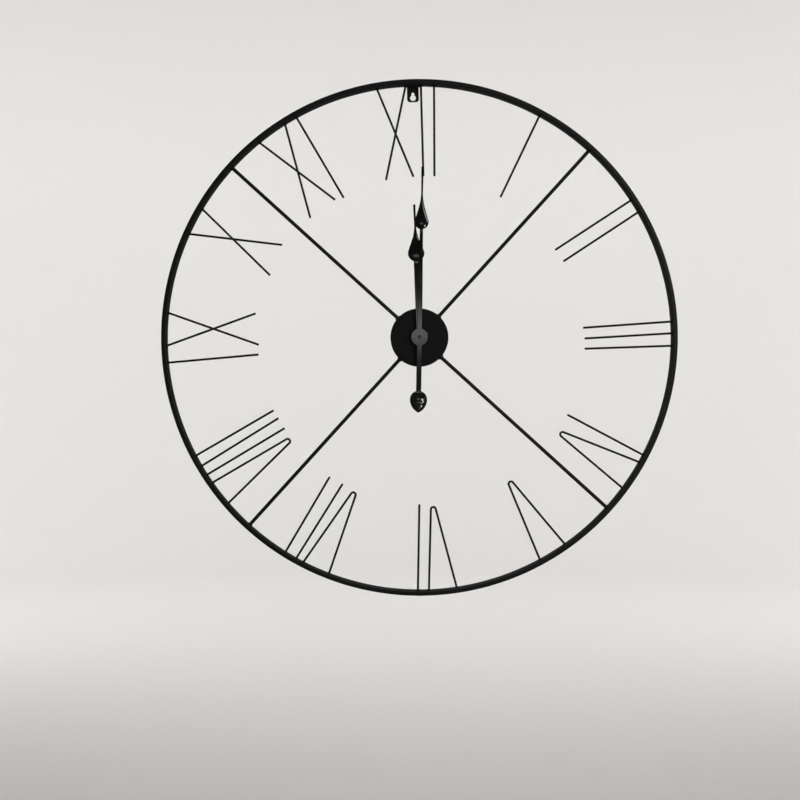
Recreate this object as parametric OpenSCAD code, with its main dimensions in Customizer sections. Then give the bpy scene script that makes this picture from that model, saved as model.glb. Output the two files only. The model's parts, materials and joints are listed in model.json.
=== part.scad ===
// Skeleton wall clock: a flat-bar hoop, four welded spokes, bent-wire Roman numerals,
// a pressed hub can that holds a quartz movement, and two spade hands.
//
// Every piece is drawn in dial coordinates: x to the right and y up as the clock is read,
// z out of the wall, with the wall at z = 0. at_wall() then stands the dial up, facing -Y,
// with the origin where the wall screw seats in the keyhole. Millimetres throughout.

/* [Hoop] */
// Outer diameter of the hoop
hoop_d = 700; // [560:5:860]
// Thickness of the hoop's flat bar, seen from the front
hoop_bar = 6; // [4:0.5:10]
// Depth of the hoop from the wall to its front edge
hoop_depth = 20; // [19:0.5:26]
// Radius on the four edges of the flat bar
hoop_edge = 0.8; // [0.3:0.1:1.5]

/* [Spokes] */
// Diameter of the spoke rod
spoke_d = 5; // [3:0.5:7]
// How far the spokes are turned from the diagonals, anticlockwise
spoke_lean = 2.8; // [-10:0.1:10]

/* [Numerals] */
// Diameter of the numeral wire
wire_d = 3; // [1.5:0.1:4]
// Radius of the hairpin bend of a V, to the middle of the wire
bend_r = 3.3; // [2.5:0.1:6]
// Reach of a numeral inwards from the hoop
numeral_reach = 124; // [80:1:140]

/* [Hub] */
// Outer diameter of the hub can
can_d = 78.7; // [74:0.1:95]
// Sheet thickness of the hub can
can_wall = 1; // [0.6:0.1:1.4]
// Radius on the front edge of the hub can
can_edge = 2.2; // [1.5:0.1:4]

/* [Hanger] */
// Width of the hanger strip
hanger_w = 16; // [13:0.5:24]
// Thickness of the hanger strip
hanger_t = 1.5; // [1:0.1:3]
// How far the keyhole plate hangs below the hoop's inner face
hanger_drop = 21; // [19:0.5:30]
// How far the hanger's middle stands to the left of the dial's axis
hanger_x = 9; // [-30:0.5:30]
// Diameter of the keyhole's round entry
keyhole_d = 8; // [6:0.1:10]
// Width of the keyhole's slot
keyslot_w = 4.2; // [3:0.1:5.5]

/* [Movement] */
// Side of the square movement case
case_side = 56; // [56:0.1:56.4]
// Wall thickness of the movement case
case_wall = 1.4; // [1:0.1:1.4]
// Diameter of the threaded bush
bush_d = 8; // [7.6:0.1:9]
// Diameter of the battery
cell_d = 14.5; // [13.5:0.1:14.5]
// Diameter of the set knob
knob_d = 12; // [9:0.5:14]
// Running clearance on the radius of every shaft in its hole
run = 0.05; // [0.03:0.01:0.08]

/* [Hands] */
// Length of the minute hand from the centre to its tip
minute_len = 230; // [180:1:260]
// Length of the minute hand's tail from the centre to its point
tail_len = 102; // [85:1:130]
// Length of the hour hand from the centre to its tip
hour_len = 179.5; // [140:0.5:200]
// Thickness of the hands
hand_t = 1.2; // [0.8:0.1:1.6]
// Diameter of the minute hand's boss
minute_boss_d = 23.8; // [16:0.1:30]
// Diameter of the hour hand's boss
hour_boss_d = 23; // [16:0.1:30]
// Clockwise angle of the minute hand from twelve
minute_rest = 1; // [-180:0.5:180]
// Clockwise angle of the hour hand from twelve
hour_rest = -2.3; // [-180:0.1:180]

/* [Hidden] */
$fn = 96;
eps = 0.01;

// Radii of the frame
hoop_r = hoop_d / 2;
hoop_in = hoop_r - hoop_bar;
mid_z = hoop_depth / 2;
cross_weld = 0.3;
bend_swell = 0.02;
bend_lap = 0.1;
can_r = can_d / 2;

// Hanger, measured along its own radius from the dial's centre
hanger_angle = asin(hanger_x / hoop_in);
hanger_corner = 4;
hanger_margin = 1.5;
hanger_clear = 0.3;
hanger_room = 1.5;
keyhole_r = keyhole_d / 2;
keyhole_y = hoop_in - hanger_drop + hanger_margin + keyhole_r;
slot_rise = 5.4;
seat_y = keyhole_y + slot_rise;
seat = [-seat_y * sin(hanger_angle), seat_y * cos(hanger_angle)];

// Depths of the movement, counted from the front of the hub can back to the wall
can_front = hoop_depth;
gasket_t = 0.6;
cover_front = can_front - can_wall - gasket_t;
cover_t = 1.6;
bay_skin = 1;
bay_corner = 1.5;
cover_back = cover_front - cover_t;
case_deep = 16.2;
case_back = cover_front - case_deep;
floor_t = 1.4;
floor_in = case_back + floor_t;
case_half = case_side / 2;
case_in = case_half - case_wall;
case_corner = 5;

// Battery and its bay along the case's lower edge
cell_gap = 0.25;
cell_len = 50.5;
nub_len = 1.1;
nub_d = 5.4;
cell_r = cell_d / 2;
cell_y = -case_in + cell_gap + cell_r;
cell_z = cover_front - bay_skin - cell_gap - cell_r;
bay_top = cell_y + cell_r + cell_gap;
bay_wall = 1.2;
strip_t = 0.3;
contact_gap = 0.1;

// Threaded bush, washer and nut on the front of the can
bush_r = bush_d / 2;
thread_pitch = 0.75;
thread_deep = 0.4;
washer_t = 0.5;
nut_t = 2.2;
nut_flats = 12;
bush_front = can_front + washer_t + nut_t + 1.1;
bush_flange_r = 6;

// Coaxial shafts, from the inside out
spindle_r = 0.5;
minute_tube_r = 1.6;
hour_tube_r = 2.5;
hour_hand_z = bush_front + 1;
minute_hand_z = hour_hand_z + hand_t + 1.6;
hour_tube_top = hour_hand_z + hand_t;
flat_half = 1.25;
nut_thread_r = 1.2;
hand_nut_r = 2.3;
hand_nut_t = 1.6;
shaft_top = minute_hand_z + hand_t + hand_nut_t;
spindle_top = shaft_top - 0.5;

// Gear teeth
pressure = 25;
tooth_up = 0.8;
tooth_down = 1.1;
backlash = 0.07;
arbor_r = 0.45;
post_r = 0.8;
pivot_deep = 1;
end_play = 0.15;

// Depths of the wheels, each counted from the cover
hour_wheel_z = cover_back - 1.4;
minute_wheel_z = hour_wheel_z - 2;
centre_wheel_z = minute_wheel_z - 1.8;
third_wheel_z = centre_wheel_z - 2.4;
seconds_wheel_z = third_wheel_z - 1.8;
middle_wheel_z = seconds_wheel_z - 1.8;
thick = 1.2;
thin = 0.8;

// Motion work: tooth counts, and the module that the centre distance gives
cannon_n = 15;
minute_wheel_n = 45;
minute_pinion_n = 12;
hour_wheel_n = 48;
knob_n = 20;
motion_gap = 9;
motion_m = 2 * motion_gap / (cannon_n + minute_wheel_n);

// Going train, from the rotor to the centre wheel
leaf_n = 10;
middle_n = 50;
seconds_n = 60;
third_n = 75;
centre_n = 80;
fast_m = 0.25;
rotor_gap = fast_m * (leaf_n + middle_n) / 2;
middle_gap = fast_m * (leaf_n + seconds_n) / 2;
third_m = 0.2;
third_gap = third_m * (leaf_n + third_n) / 2;
centre_m = 2 * third_gap / (leaf_n + centre_n);

// Where each arbor stands round the one that drives it
minute_wheel_at = 175;
knob_at = 165;
third_at = 95;
middle_at = -5;
rotor_at = 59;

function polar(r, a) = [r * cos(a), r * sin(a)];
function involute(a) = tan(a) - a * PI / 180;

// Turn of gear b that puts its gap opposite a tooth of gear a, with b at angle `at` from a
function mesh_turn(n_a, turn_a, n_b, at) = at + 180 - 180 / n_b + (at - turn_a) * n_a / n_b;

minute_wheel_xy = polar(motion_gap, minute_wheel_at);
knob_gap = motion_m * (minute_wheel_n + knob_n) / 2;
knob_xy = minute_wheel_xy + polar(knob_gap, knob_at);
third_xy = polar(third_gap, third_at);
middle_xy = polar(middle_gap, middle_at);
rotor_xy = middle_xy + polar(rotor_gap, rotor_at);

minute_wheel_turn = mesh_turn(cannon_n, 0, minute_wheel_n, minute_wheel_at);
hour_wheel_turn = mesh_turn(minute_pinion_n, minute_wheel_turn, hour_wheel_n, minute_wheel_at + 180);
knob_turn = mesh_turn(minute_wheel_n, minute_wheel_turn, knob_n, knob_at);
third_turn = mesh_turn(leaf_n, 0, third_n, third_at);
centre_turn = mesh_turn(leaf_n, third_turn, centre_n, third_at + 180);
middle_turn = mesh_turn(seconds_n, 0, leaf_n, middle_at);
rotor_turn = mesh_turn(middle_n, middle_turn, leaf_n, rotor_at);

// Rotor, stator and coil
magnet_r = 3;
magnet_t = 2.4;
stator_t = 0.8;
stator_z = seconds_wheel_z + 0.4;
stator_hole_r = magnet_r + 0.4;
coil_x = case_in - 4.4;
coil_y = [-5, 13.6];
coil_r = 3.4;
flange_r = 3.8;
core_w = 3;
core_z = stator_z + stator_t;
pad = 4.5;
arm_w = 4;

// Circuit board and what sits on it
board_z = floor_in + 1;
board_t = 0.8;
board_half = case_in - 0.8;
board_low = 14;
board_high = 25;
board_corner = 3;
standoffs = [-10, 6];
contact_z = [floor_in + 1.4, floor_in + 5.4];

// Minute and hour hand outlines
stem_root = 3.5;
minute_neck = 2.1;
minute_bulb = [154.8 - 230, 9.5];
hour_stem = 3.7;
hour_bulb = [113.2 - 179.5, 11.1];
needle_half = 1.25;
needle_tip = 1.6;
tail_half = 3.5;
tail_bulb_r = 11.6;
tail_bulb_up = 18;

// ---------------------------------------------------------------- helpers

module at_wall() {
    translate([-seat[0], 0, -seat[1]]) rotate([90, 0, 0]) children();
}

module rounded(size, r) {
    translate([r, 0]) square([size[0] - 2 * r, size[1]]);
    translate([0, r]) square([size[0], size[1] - 2 * r]);
    for (x = [r, size[0] - r], y = [r, size[1] - r]) translate([x, y]) circle(r = r);
}

module rounded_centred(side, r) {
    translate([-side / 2, -side / 2]) rounded([side, side], r);
}

// A round rod between two points of the dial at one depth
module rod(a, b, d, z) {
    v = b - a;
    translate([a[0], a[1], z])
        rotate([0, 0, atan2(v[1], v[0])])
            rotate([0, 90, 0])
                cylinder(h = norm(v), d = d);
}

// Trims what is inside it where the hoop's inner face begins
module within_hoop() {
    intersection() {
        children();
        translate([0, 0, -hoop_depth]) cylinder(h = 3 * hoop_depth, r = hoop_in, $fn = 720);
    }
}

// Points of one gear: involute flanks, straight below the base circle
function gear_points(n, m) =
    let (
        pitch_r = n * m / 2,
        base_r = pitch_r * cos(pressure),
        tip_r = pitch_r + tooth_up * m,
        root_r = pitch_r - tooth_down * m,
        half = 90 / n - backlash / 2 / pitch_r * 90 / PI,
        start_r = max(base_r, root_r),
        radii = [for (i = [0:2]) start_r + (tip_r - start_r) * i / 2],
        flank = [for (r = radii)
            [r, half + (involute(pressure) - involute(acos(min(1, base_r / r)))) * 180 / PI]]
    )
    [for (i = [0:n - 1], s = [-1, 1], k = [0:3])
        let (
            j = s < 0 ? k - 1 : 2 - k,
            root = j < 0,
            a = i * 360 / n + s * (root ? flank[0][1] : flank[j][1])
        )
        polar(root ? root_r : flank[j][0], a)];

module gear(n, m, h, turn = 0) {
    rotate([0, 0, turn]) linear_extrude(h) polygon(gear_points(n, m));
}

module pipe(h, r_out, r_in) {
    difference() {
        cylinder(h = h, r = r_out);
        translate([0, 0, -1]) cylinder(h = h + 2, r = r_in);
    }
}

// A post with a blind pivot hole in its free end; `up` says which way the free end faces
module pivot_post(xy, z_low, z_high, up, r = post_r) {
    hole_r = arbor_r + run;
    translate([xy[0], xy[1], 0]) difference() {
        translate([0, 0, z_low]) cylinder(h = z_high - z_low, r = r);
        translate([0, 0, up ? z_high - pivot_deep : z_low - 1])
            cylinder(h = pivot_deep + 1, r = hole_r);
    }
}

// ---------------------------------------------------------------- frame

module rim() {
    color("#17171a") at_wall()
        rotate_extrude($fn = 720)
            translate([hoop_in, 0]) rounded([hoop_bar, hoop_depth], hoop_edge);
}

module spoke(i) {
    a = 45 + spoke_lean + 90 * (i - 1);
    color("#17171a") at_wall() within_hoop() difference() {
        rod([0, 0], polar(hoop_r, a), spoke_d, mid_z);
        translate([0, 0, -1]) cylinder(h = hoop_depth + 2, r = can_r);
    }
}

module hub_can() {
    inner_edge = can_edge - can_wall;
    color("#141416") at_wall() difference() {
        union() {
            cylinder(h = can_front - can_edge, r = can_r);
            cylinder(h = can_front, r = can_r - can_edge);
            translate([0, 0, can_front - can_edge])
                rotate_extrude() translate([can_r - can_edge, 0]) circle(r = can_edge);
        }
        translate([0, 0, -1]) union() {
            cylinder(h = can_front - can_edge + 1, r = can_r - can_wall);
            cylinder(h = can_front - can_wall + 1, r = can_r - can_edge);
            translate([0, 0, can_front - can_edge + 1])
                rotate_extrude() translate([can_r - can_edge, 0]) circle(r = inner_edge);
        }
        cylinder(h = can_front + 1, r = bush_r + 0.15);
    }
}

// Keyhole plate on the wall, bent at the top into a flange along the hoop's inner face
module hanger() {
    low = hoop_in - hanger_drop;
    color("#17171a") at_wall() within_hoop() rotate([0, 0, hanger_angle]) {
        linear_extrude(hanger_t) difference() {
            translate([-hanger_w / 2, low]) union() {
                rounded([hanger_w, hanger_drop], hanger_corner);
                translate([0, hanger_corner]) square([hanger_w, hanger_drop]);
            }
            translate([0, keyhole_y]) circle(r = keyhole_r);
            translate([-keyslot_w / 2, keyhole_y]) square([keyslot_w, slot_rise]);
            translate([0, seat_y]) circle(d = keyslot_w);
        }
        translate([-hanger_w / 2, hoop_in - hanger_t, 0])
            cube([hanger_w, 2 * hanger_t, hoop_depth - 2]);
    }
}

// ---------------------------------------------------------------- numerals

// A numeral is drawn at twelve and turned to its hour. Offsets run clockwise from the hour's
// radius: bar(foot on the hoop, free end, how much shorter than the reach, layer of wire).
module bar(foot, free, short, layer = 0) {
    inner = hoop_in - numeral_reach + short;
    start = [foot, sqrt(hoop_in * hoop_in - foot * foot)];
    out = start + 6 * (start - [free, inner]) / norm(start - [free, inner]);
    rod([free, inner], out, wire_d, mid_z - layer * (wire_d - cross_weld));
}

// A hairpin: two legs from the hoop, tangent to the bend at the V's point
module vee(foot_a, foot_b, point, short) {
    c = [point, hoop_in - numeral_reach + short + bend_r + wire_d / 2];
    feet = [for (f = [min(foot_a, foot_b), max(foot_a, foot_b)]) [f, sqrt(hoop_in * hoop_in - f * f)]];
    dirs = [for (f = feet) atan2(f[1] - c[1], f[0] - c[0])];
    lean = [for (f = feet) acos(bend_r / norm(f - c))];
    touch = [dirs[0] + lean[0], dirs[1] - lean[1]];
    for (i = [0, 1])
        let (p = c + polar(bend_r, touch[i]), along = (feet[i] - p) / norm(feet[i] - p))
            rod(p - bend_lap * along, feet[i] + 6 * along, wire_d, mid_z);
    translate([c[0], c[1], mid_z]) rotate([0, 0, touch[0]])
        rotate_extrude(angle = touch[1] - touch[0] + 360)
            translate([bend_r, 0]) circle(d = wire_d + bend_swell);
}

module numeral(hour) {
    color("#17171a") at_wall() within_hoop() rotate([0, 0, -30 * hour]) children();
}

module numeral_1() {
    numeral(1) bar(-9.5, 0, 1);
}

module numeral_2() {
    numeral(2) {
        bar(-18, -11, 0);
        bar(1, 8, 2);
    }
}

module numeral_3() {
    numeral(3) {
        bar(-22, -13.5, 3);
        bar(-6, 1, 5);
        bar(11, 15, 5);
    }
}

module numeral_4() {
    numeral(4) {
        bar(-14, -10, 7);
        vee(-3, 39, 16.5, 10);
    }
}

module numeral_5() {
    numeral(5) vee(-31, 9, -8.5, 10);
}

module numeral_6() {
    numeral(6) {
        vee(-51, -13, -19, 9);
        bar(2, 0, 7);
    }
}

module numeral_7() {
    numeral(7) {
        vee(-54, -16, -29, 5.5);
        bar(-5, -9, 4.5);
        bar(12, 11, 5);
    }
}

module numeral_8() {
    numeral(8) {
        vee(-65, -30, -32.5, 1);
        bar(-17, -15, 0.5);
        bar(-3, 1, 1);
        bar(13, 13.5, 1.5);
    }
}

module numeral_9() {
    numeral(9) {
        bar(-34, -23, -1);
        bar(-11, 33, 3);
        bar(34, -9.5, -1, 1);
    }
}

module numeral_10() {
    numeral(10) {
        bar(-34.5, 16, 5);
        bar(4, -28, -1, 1);
    }
}

module numeral_11() {
    numeral(11) {
        bar(-56, -5.5, 0);
        bar(-13, -47, -4, 1);
        bar(5, 6, -3.5);
    }
}

// The hanger's flange stands between two feet of this numeral
module numeral_12() {
    left_foot = -hanger_x - hanger_w / 2 - hanger_clear - wire_d / 2;
    right_foot = -hanger_x + hanger_w / 2 + hanger_room + wire_d / 2;
    numeral(12) {
        bar(-58, -8, -1);
        bar(left_foot, -45.5, -5, 1);
        bar(right_foot, 5.5, 0);
        bar(20, 20.5, 0);
    }
}

// ---------------------------------------------------------------- movement housing

// Where the corner pegs of the cover plug into the case
peg_at = case_in - 3.2;
peg_r = 0.9;
pegs = [for (x = [-1, 1]) [x * peg_at, peg_at]];

module movement_case() {
    knob_hole_r = 1.5 + run;
    color("#1c1c1f") at_wall() {
        difference() {
            translate([0, 0, case_back]) linear_extrude(cover_back - case_back)
                rounded_centred(case_side, case_corner);
            translate([0, 0, floor_in]) linear_extrude(case_deep)
                rounded_centred(2 * case_in, case_corner - case_wall);
            translate([-case_in, -case_in, case_back - 1])
                linear_extrude(case_deep) rounded([2 * case_in, bay_top + case_in], bay_corner);
            translate([knob_xy[0], knob_xy[1], case_back - 1]) cylinder(h = floor_t + 2, r = knob_hole_r);
        }
        // Wall between the battery bay and the wheels, notched at both ends for the contacts
        translate([-case_in + 1.2, bay_top, case_back])
            cube([2 * case_in - 2.4, bay_wall, cover_back - case_back]);
        for (p = pegs) translate([p[0], p[1], floor_in]) pipe(cover_back - floor_in, 2, peg_r + run);
        for (x = standoffs) translate([x, board_low + 3, floor_in]) cylinder(h = board_z - floor_in, r = 0.9);
        pivot_post([0, 0], floor_in, seconds_wheel_z - end_play - 0.3, true, 1.5);
        pivot_post(middle_xy, floor_in, middle_wheel_z - end_play, true, 1.2);
        pivot_post(rotor_xy, floor_in, middle_wheel_z - end_play - 0.2, true, 1.2);
        pivot_post(third_xy, floor_in, third_wheel_z - end_play, true, 0.7);
        pivot_post(minute_wheel_xy, floor_in, minute_wheel_z - end_play, true, 0.9);
    }
}

module movement_cover() {
    color("#232326") at_wall() {
        difference() {
            translate([0, 0, cover_back]) linear_extrude(cover_t) rounded_centred(case_side, case_corner);
            translate([-case_in + 0.5, -case_in + 0.2, cover_back - 1])
                cube([2 * case_in - 1, bay_top + case_in - 0.2, cover_t - bay_skin + 1]);
            translate([0, 0, cover_back - 1]) cylinder(h = cover_t + 2, r = bush_r);
            translate([0, 0, cover_back - 1]) cylinder(h = 1 + 0.6, r = bush_flange_r);
            for (p = [minute_wheel_xy, knob_xy])
                translate([p[0], p[1], cover_back - 1]) cylinder(h = pivot_deep + 1, r = arbor_r + run);
        }
        for (p = pegs) translate([p[0], p[1], cover_back - 3]) cylinder(h = 3, r = peg_r);
        pivot_post(third_xy, centre_wheel_z + 1 + end_play, cover_back, false, 0.75);
        pivot_post(middle_xy, seconds_wheel_z + thin + end_play, cover_back, false);
        pivot_post(rotor_xy, middle_wheel_z + 4.2 + end_play, cover_back, false, 1.2);
    }
}

// Brass bush moulded into the cover, with a rolled thread outside the can
module threaded_bush() {
    turns = floor((bush_front - cover_front) / thread_pitch) - 1;
    color("#c9a654") at_wall() difference() {
        union() {
            translate([0, 0, cover_back]) cylinder(h = bush_front - cover_back, r = bush_r);
            translate([0, 0, cover_back]) cylinder(h = 0.6, r = bush_flange_r);
        }
        translate([0, 0, cover_back - 1]) cylinder(h = bush_front, r = hour_tube_r + run);
        for (i = [1:turns])
            translate([0, 0, cover_front + i * thread_pitch]) rotate_extrude()
                polygon([
                    [bush_r - thread_deep, 0],
                    [bush_r + 1, -thread_pitch * 0.4 * (1 + 1 / thread_deep)],
                    [bush_r + 1, thread_pitch * 0.4 * (1 + 1 / thread_deep)]
                ]);
    }
}

module rubber_gasket() {
    color("#101010") at_wall() translate([0, 0, cover_front]) pipe(gasket_t, 11, bush_r + 0.2);
}

module washer() {
    color("#b9bcc0") at_wall() translate([0, 0, can_front]) pipe(washer_t, 7.5, bush_r + 0.2);
}

module hex_nut() {
    color("#c9a654") at_wall() translate([0, 0, can_front + washer_t]) difference() {
        cylinder(h = nut_t, r = nut_flats / sqrt(3), $fn = 6);
        translate([0, 0, -1]) cylinder(h = nut_t + 2, r = bush_r);
    }
}

// ---------------------------------------------------------------- battery and contacts

cell_minus = -cell_len / 2 + 0.35;
cell_plus = cell_minus + cell_len;

module battery() {
    color("#2f6b4f") at_wall() translate([cell_minus, cell_y, cell_z]) rotate([0, 90, 0]) {
        difference() {
            cylinder(h = cell_len - nub_len, r = cell_r);
            translate([0, 0, cell_len - nub_len - 0.3]) pipe(1, cell_r - 0.6, nub_d / 2 + 0.8);
        }
        cylinder(h = cell_len, d = nub_d);
    }
}

// Nickel strips: a pad behind each end of the cell and a tail along the case wall to the board
module contact_plus() {
    x = cell_plus + contact_gap;
    edge = case_in - 0.1;
    color("#c8cacd") at_wall() {
        translate([x, cell_y - 4, cell_z - 3.5]) cube([strip_t, 8, 7]);
        translate([x, cell_y - 4, contact_z[0]]) cube([edge - x, strip_t, contact_z[1] - contact_z[0]]);
        translate([edge - strip_t, cell_y - 4, contact_z[0]])
            cube([strip_t, board_low + 8 - cell_y, contact_z[1] - contact_z[0]]);
    }
}

module contact_minus() {
    x = -case_in + 0.1;
    reach = cell_minus - contact_gap - x;
    color("#c8cacd") at_wall() {
        translate([x, cell_y - 4, cell_z - 3.5]) cube([strip_t, 8, 7]);
        translate([x, cell_y, contact_z[0]])
            cube([strip_t, board_low + 4 - cell_y, contact_z[1] - contact_z[0]]);
        translate([x, cell_y, cell_z]) rotate([0, 90, 0]) {
            cylinder(h = reach * 0.55, r = 3);
            cylinder(h = reach, r = 2.2);
        }
    }
}

// ---------------------------------------------------------------- electronics

module circuit_board() {
    color("#1f6b3a") at_wall() {
        difference() {
            translate([-board_half, board_low, board_z]) linear_extrude(board_t)
                rounded([2 * board_half, board_high - board_low], board_corner);
            for (p = pegs) translate([p[0], p[1], board_z - 1]) cylinder(h = board_t + 2, r = 2.3);
        }
    }
}

module chip() {
    color("#0b0b0c") at_wall() translate([-15, board_low + 5, board_z + board_t]) intersection() {
        translate([0, 0, -2.6]) sphere(r = 4);
        cylinder(h = 2, r = 4);
    }
}

module quartz_crystal() {
    color("#c8cacd") at_wall() translate([-9, board_low + 8, board_z + board_t + 1.5])
        rotate([0, 90, 0]) cylinder(h = 8, r = 1.5);
}

module coil_bobbin() {
    color("#e8e4d8") at_wall() translate([coil_x, 0, core_z + stator_t / 2]) rotate([-90, 0, 0])
        difference() {
            union() {
                translate([0, 0, coil_y[0]]) cylinder(h = coil_y[1] - coil_y[0], r = 2);
                for (y = [coil_y[0], coil_y[1] - 1]) translate([0, 0, y]) cylinder(h = 1, r = flange_r);
            }
            translate([-core_w / 2, -stator_t / 2, coil_y[0] - 1])
                cube([core_w, stator_t, coil_y[1] - coil_y[0] + 2]);
        }
}

module coil_winding() {
    color("#b5622a") at_wall() translate([coil_x, coil_y[0] + 1, core_z + stator_t / 2])
        rotate([-90, 0, 0]) pipe(coil_y[1] - coil_y[0] - 2, coil_r, 2);
}

module coil_core() {
    color("#8d9095") at_wall() translate([coil_x - core_w / 2, coil_y[0] - pad, core_z])
        cube([core_w, coil_y[1] - coil_y[0] + 2 * pad, stator_t]);
}

module stator() {
    low_y = coil_y[0] - pad + arm_w / 2 - 0.5;
    high_y = coil_y[1] + pad - arm_w / 2 + 0.5;
    color("#8d9095") at_wall() translate([0, 0, stator_z]) linear_extrude(stator_t) difference() {
        union() {
            translate(rotor_xy) circle(r = 5.2);
            translate([rotor_xy[0] - arm_w / 2, low_y]) square([arm_w, high_y - low_y]);
            for (y = [low_y, high_y]) {
                translate([rotor_xy[0], y - arm_w / 2]) square([coil_x - rotor_xy[0], arm_w]);
                for (x = [rotor_xy[0], coil_x]) translate([x, y]) circle(d = arm_w);
            }
        }
        translate(rotor_xy) circle(r = stator_hole_r);
    }
}

// ---------------------------------------------------------------- wheels

// A wheel with its pinion on top and a steel pivot at each end
module wheel(xy, n, m, z, h, turn) {
    color("#e9e6dc") at_wall() translate([xy[0], xy[1], z]) gear(n, m, h, turn);
    color("#e9e6dc") at_wall() translate([xy[0], xy[1], 0]) children();
}

module arbor(z_low, z_high) {
    translate([0, 0, z_low]) cylinder(h = z_high - z_low, r = arbor_r);
}

module rotor() {
    z = middle_wheel_z - 0.2;
    magnet_z = stator_z + stator_t / 2 - magnet_t / 2;
    wheel(rotor_xy, leaf_n, fast_m, z, 1.2, rotor_turn) {
        arbor(z - end_play - pivot_deep + 0.1, middle_wheel_z + 4.2 + end_play + pivot_deep - 0.1);
        translate([0, 0, z + 1.2]) cylinder(h = magnet_z - z - 1.2, r = 1);
        translate([0, 0, magnet_z]) cylinder(h = magnet_t, r = magnet_r);
    }
}

module intermediate_wheel() {
    top = seconds_wheel_z + thin;
    wheel(middle_xy, middle_n, fast_m, middle_wheel_z, thin, middle_turn) {
        arbor(middle_wheel_z - end_play - pivot_deep + 0.1, top + end_play + pivot_deep - 0.1);
        translate([0, 0, middle_wheel_z + thin])
            gear(leaf_n, fast_m, top - middle_wheel_z - thin, middle_turn);
    }
}

module seconds_wheel() {
    top = third_wheel_z + thin;
    wheel([0, 0], seconds_n, fast_m, seconds_wheel_z, thin, 0) {
        translate([0, 0, seconds_wheel_z - end_play - 0.3 - pivot_deep + 0.1])
            cylinder(h = 2, r = arbor_r);
        translate([0, 0, seconds_wheel_z]) cylinder(h = spindle_top - seconds_wheel_z, r = spindle_r);
        translate([0, 0, seconds_wheel_z + thin]) gear(leaf_n, third_m, top - seconds_wheel_z - thin, 0);
    }
}

module third_wheel() {
    top = centre_wheel_z + 1;
    wheel(third_xy, third_n, third_m, third_wheel_z, thin, third_turn) {
        arbor(third_wheel_z - end_play - pivot_deep + 0.1, top + end_play + pivot_deep - 0.1);
        translate([0, 0, third_wheel_z + thin])
            gear(leaf_n, centre_m, top - third_wheel_z - thin, third_turn);
    }
}

module centre_wheel() {
    color("#e9e6dc") at_wall() difference() {
        translate([0, 0, centre_wheel_z]) gear(centre_n, centre_m, 1, centre_turn);
        translate([0, 0, centre_wheel_z - 1]) cylinder(h = 3, r = minute_tube_r + run);
    }
}

module minute_wheel() {
    top = hour_wheel_z + thick;
    wheel(minute_wheel_xy, minute_wheel_n, motion_m, minute_wheel_z, thick, minute_wheel_turn) {
        arbor(minute_wheel_z - end_play - pivot_deep + 0.1, cover_back + pivot_deep - 0.1);
        translate([0, 0, minute_wheel_z + thick])
            gear(minute_pinion_n, motion_m, top - minute_wheel_z - thick, minute_wheel_turn);
    }
}

module hour_wheel() {
    color("#e9e6dc") at_wall() difference() {
        union() {
            translate([0, 0, hour_wheel_z]) gear(hour_wheel_n, motion_m, thick, hour_wheel_turn);
            translate([0, 0, hour_wheel_z]) cylinder(h = hour_tube_top - hour_wheel_z, r = hour_tube_r);
        }
        translate([0, 0, hour_wheel_z - 1])
            cylinder(h = hour_tube_top - hour_wheel_z + 2, r = minute_tube_r + run);
    }
}

// Hollow brass shaft: flange under the clutch, cannon pinion, flats for the hand, thread on top
module minute_shaft() {
    base = centre_wheel_z - 0.6;
    pinion_h = 1.7;
    color("#c9a654") at_wall() difference() {
        union() {
            translate([0, 0, base]) cylinder(h = 0.5, r = 2.3);
            translate([0, 0, base]) cylinder(h = minute_hand_z - base, r = minute_tube_r);
            translate([0, 0, minute_wheel_z - 0.2]) gear(cannon_n, motion_m, pinion_h, 0);
            translate([0, 0, minute_hand_z]) shaft_flats(hand_t);
            translate([0, 0, minute_hand_z]) cylinder(h = shaft_top - minute_hand_z, r = nut_thread_r);
        }
        translate([0, 0, base - 1]) cylinder(h = shaft_top, r = spindle_r + run);
        translate([0, 0, shaft_top - 0.8]) cylinder(h = 1, r = 0.9);
    }
}

// Section of the shaft that keys the minute hand
module shaft_flats(h) {
    intersection() {
        cylinder(h = h, r = minute_tube_r);
        translate([-flat_half, -minute_tube_r, 0]) cube([2 * flat_half, 2 * minute_tube_r, h]);
    }
}

// Star washer that presses the centre wheel against the shaft's flange
module clutch_spring() {
    z = centre_wheel_z + 1 + 0.05;
    h = minute_wheel_z - 0.2 - z;
    color("#c8cacd") at_wall() translate([0, 0, z]) {
        pipe(h, 2.6, minute_tube_r);
        for (a = [0:120:240]) rotate([0, 0, a]) translate([2.4, -0.5, 0]) cube([2.2, 1, 0.2]);
    }
}

// Moulded knob behind the case, its stem and the gear that turns the minute wheel
module set_knob() {
    back = case_back - 1.9;
    stem_top = minute_wheel_z;
    ridges = 30;
    color("#2b2b2e") at_wall() translate([knob_xy[0], knob_xy[1], 0]) {
        translate([0, 0, back]) linear_extrude(1.7) union() {
            circle(r = knob_d / 2 - 0.4);
            for (i = [0:ridges - 1]) rotate(i * 360 / ridges) translate([knob_d / 2 - 0.5, 0])
                circle(r = 0.4, $fn = 8);
        }
        translate([0, 0, back + 1]) cylinder(h = stem_top - back - 1, r = 1.5);
        translate([0, 0, minute_wheel_z]) gear(knob_n, motion_m, thick, knob_turn);
        arbor(stem_top, cover_back + pivot_deep - 0.1);
    }
}

// ---------------------------------------------------------------- hands

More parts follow.
